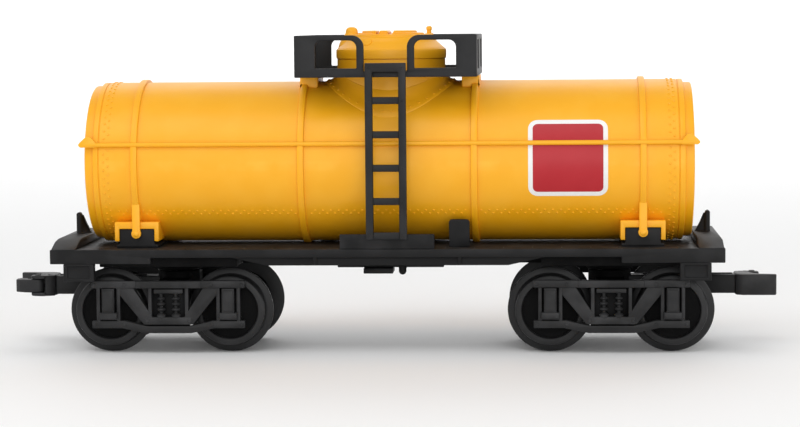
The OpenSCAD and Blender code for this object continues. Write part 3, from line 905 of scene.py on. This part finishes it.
def make_wheels(side_name, which, place):
    """A pair of wheels: a coned tread and a flange with a round edge, and a dished disc with a raised hub, the disc in
    near-black as painted shade in the dish.
    """
    tyre = [
        (11.6, 20.7), (11.8, 20.3), (12.1, 20.0), (17.0, 20.0), (17.5, 20.15), (17.8, 20.5), (17.8, 21.1),
        (17.5, 21.45), (16.6, 21.7), (15.4, 21.9), (14.95, 22.3), (14.8, 22.9), (14.62, 26.3), (14.45, 26.75),
        (14.0, 27.0), (12.2, 27.0), (11.9, 26.8), (11.7, 26.3), (11.6, 24.5),
    ]
    disc = [
        (1.5, 19.0), (3.6, 19.0), (4.0, 19.3), (4.0, 20.9), (4.6, 21.5), (11.9, 21.3), (11.9, 24.7), (9.5, 24.8),
        (7.0, 25.2), (5.0, 25.4), (4.2, 25.7), (4.0, 26.4), (3.8, 26.85), (3.4, 27.0), (1.5, 27.0),
    ]
    # The discs take the near-black material: painted shade in the dish of each wheel.
    for label, profile, material, nodes in (
        ("wheel_pair", tyre, WHEEL_CHARCOAL, [f"{side_name}_{which}_wheels"]), ("wheel_discs", disc, PAINTED_SHADE_BLACK, []),
    ):
        rings = [turned("ring", profile, outward(side), steps=96) for side in (-1, 1)]
        piece = joined(f"{side_name}_{which}_{label}", rings)
        piece.data.transform(place)
        finish_piece(piece, material, f"{side_name}_{which}_wheelset", nodes, angle=32)
    rod = turned(
        "rod", [(0, -30.3), (1.2, -30.3), (1.5, -30.0), (1.5, 30.0), (1.2, 30.3), (0, 30.3)], ACROSS, steps=40,
    )
    rod.data.transform(place)
    rod.name = f"{side_name}_{which}_axle_rod"
    finish_piece(rod, STEEL, f"{side_name}_{which}_wheelset", [f"{side_name}_{which}_axle"])


def make_side_frame(side_name, side, place):
    """One side frame of flat bars round its spring window, with an axle box in a slot at each end."""
    bars = [
        (3.6, [(-32.2, 27.8), (32.2, 27.8), (32.2, 30.8), (-32.2, 30.8)]),
        (3.6, [
            (-32.2, 11), (-19.6, 11), (-14, 9.8), (-9.5, 8.9), (9.5, 8.9), (14, 9.8), (19.6, 11), (32.2, 11),
            (32.2, 14.1), (18.6, 14.1), (13.6, 12.9), (9, 11.9), (-9, 11.9), (-13.6, 12.9), (-18.6, 14.1),
            (-32.2, 14.1),
        ]),
        (3.5, [(-9.7, 12.5), (9.7, 12.5), (9.7, 15.6), (-9.7, 15.6)]),
    ]
    for end in (-1, 1):
        for depth, bar in (
            (3.35, [(15, 28.4), (20.8, 28.4), (20.8, 25.4), (10.2, 12.4), (6.2, 14.8)]),
            (3.2, [(7, 13), (8.5, 13), (8.5, 28.5), (7, 28.5)]),
        ):
            bars.append((depth, [(end * x, z) for x, z in bar]))

    def plate(points, inner, outer, width=0.28):
        shift = -SIDE_Y - inner if side < 0 else SIDE_Y + outer
        bar = outlined("bar", points, outer - inner, Matrix.Translation(mm(0, shift, 0)) @ UPRIGHT)
        round_edges(bar, width)
        return bar

    parts = [plate(points, 0, depth) for depth, points in bars]
    for dx in (-AXLE_DX, AXLE_DX):
        for x0, x1, z0, z1, inner, outer in (
            (-5.0, -3.5, 13, 28.2, 0, 3.4), (3.5, 5.0, 13, 28.2, 0, 3.4),
            (-2.6, 2.6, 15.8, 27.7, 0.5, 4.4), (-3.9, 3.9, 14.6, 17.6, 0.5, 4.5),
        ):
            corners = [(dx + x0, z0), (dx + x1, z0), (dx + x1, z1), (dx + x0, z1)]
            parts.append(plate(corners, inner, outer))
        boss = turned("boss", [(1.6, -0.6), (3.2, -0.6), (3.4, -0.4), (3.4, 0.3), (1.6, 0.3)], steps=32)
        boss.data.transform(Matrix.Translation(mm(dx, side * SIDE_Y, AXLE_Z)) @ outward(side))
        parts.append(boss)
    label = "near" if (side < 0) == (side_name == "right") else "far"
    side_frame = joined(f"{side_name}_{label}_side_bars", parts)
    side_frame.data.transform(place)
    finish_piece(
        side_frame, TRUCK_CHARCOAL, f"{side_name}_truck", [f"{side_name}_{label}_side_frame"],
    )


def make_side_frame_trim(side_name, place):
    """Lids on the axle boxes, bolts on the bars, and pads on the ends of the top bars."""
    face = SIDE_Y + 3.6
    parts = []
    for side in (-1, 1):

        def slab(x0, x1, z0, z1, depth0, depth1, width=0.25):
            low, high = sorted((side * depth0, side * depth1))
            parts.append(block("slab", (x0, low, z0), (x1, high, z1), width))

        for dx in (-AXLE_DX, AXLE_DX):
            slab(dx - 2.3, dx + 2.3, 18.2, 27.0, face + 0.6, face + 1.25, 0.35)
            slab(dx - 3.7, dx + 3.7, 14.9, 17.6, face + 0.6, face + 1.2, 0.35)
        for end in (-1, 1):
            x0, x1 = sorted((end * 13.5, end * 32.1))
            slab(x0, x1, 28.0, 30.95, face - 0.3, face + 0.35, 0.3)
            for x, z in ((18.4, 12.6), (31.0, 12.6), (31.0, 29.4), (18.4, 29.4), (9.0, 14.0)):
                nut = bolt_head(0.6, 0.4)
                depth = face + (0.35 if z > 28 else 0.0)
                nut.data.transform(Matrix.Translation(mm(end * x, side * depth, z)) @ outward(side))
                parts.append(nut)
    trim = joined(f"{side_name}_truck_trim", parts)
    trim.data.transform(place)
    finish_piece(trim, TRUCK_CHARCOAL, f"{side_name}_truck")


def make_coupler_trim(side_name, place):
    """A raised rib on the tongue and the head of the knuckle pin."""
    pin = turned(
        "pin_head", [(0, 30.5), (1.3, 30.5), (1.3, 30.95), (1.1, 31.15), (0, 31.2)],
        Matrix.Translation(mm(60.6, 5.2, 0)), steps=24,
    )
    rib = block("rib", (14.0, -0.7, 30.0), (52.0, 0.7, 30.75), 0.2)
    trim = joined(f"{side_name}_coupler_trim", [pin, rib])
    trim.data.transform(place)
    finish_piece(trim, TRUCK_CHARCOAL, f"{side_name}_truck")


def make_truck(side_name):
    """One truck: side frames, bolster, springs, two pairs of wheels, coupler and knuckle."""
    right = side_name == "right"
    place = Matrix.Translation(mm(TRUCK_X if right else -TRUCK_X, 0, 0))
    if not right:
        place = place @ Matrix.Rotation(math.pi, 4, "Z")
    truck = f"{side_name}_truck"
    for name, node, width, body in (
        ("cross_bolster", "bolster", 0.3, truck), ("coupler_body", "coupler", 0.45, truck),
        ("coupler_knuckle", "knuckle", 0.35, f"{side_name}_knuckle"),
    ):
        piece = softened(f"{side_name}_{name}", f"{side_name}_{node}", width)
        # The cross bolster takes the near-black material: painted shade under the car.
        material = PAINTED_SHADE_BLACK if node == "bolster" else TRUCK_CHARCOAL
        finish_piece(piece, material, body, [f"{side_name}_{node}"])
    make_side_frame(side_name, -1, place)
    make_side_frame(side_name, 1, place)
    make_springs(side_name, place)
    for which, dx in (("outer", AXLE_DX), ("inner", -AXLE_DX)):
        make_wheels(side_name, which, place @ Matrix.Translation(mm(dx, 0, AXLE_Z)))
    make_side_frame_trim(side_name, place)
    make_coupler_trim(side_name, place)


def give_cad_nodes_materials():
    """Gives each CAD node its material too, so that none is left bare."""
    slots = {row["node"]: row["material_slot"] for row in frame["record"]["subparts"]}
    materials = {
        "tank_plastic": YELLOW, "frame_plastic": CHARCOAL, "wheel_plastic": WHEEL_CHARCOAL, "axle_steel": STEEL,
    }
    for name, node in frame["nodes"].items():
        node.data.materials.clear()
        node.data.materials.append(materials[slots[name]])


add_camera()
add_floor(pale_floor())
add_lights()
make_tank()
make_walkway()
make_ladders()
make_deck()
make_truck("left")
make_truck("right")
give_cad_nodes_materials()
deselect_all()
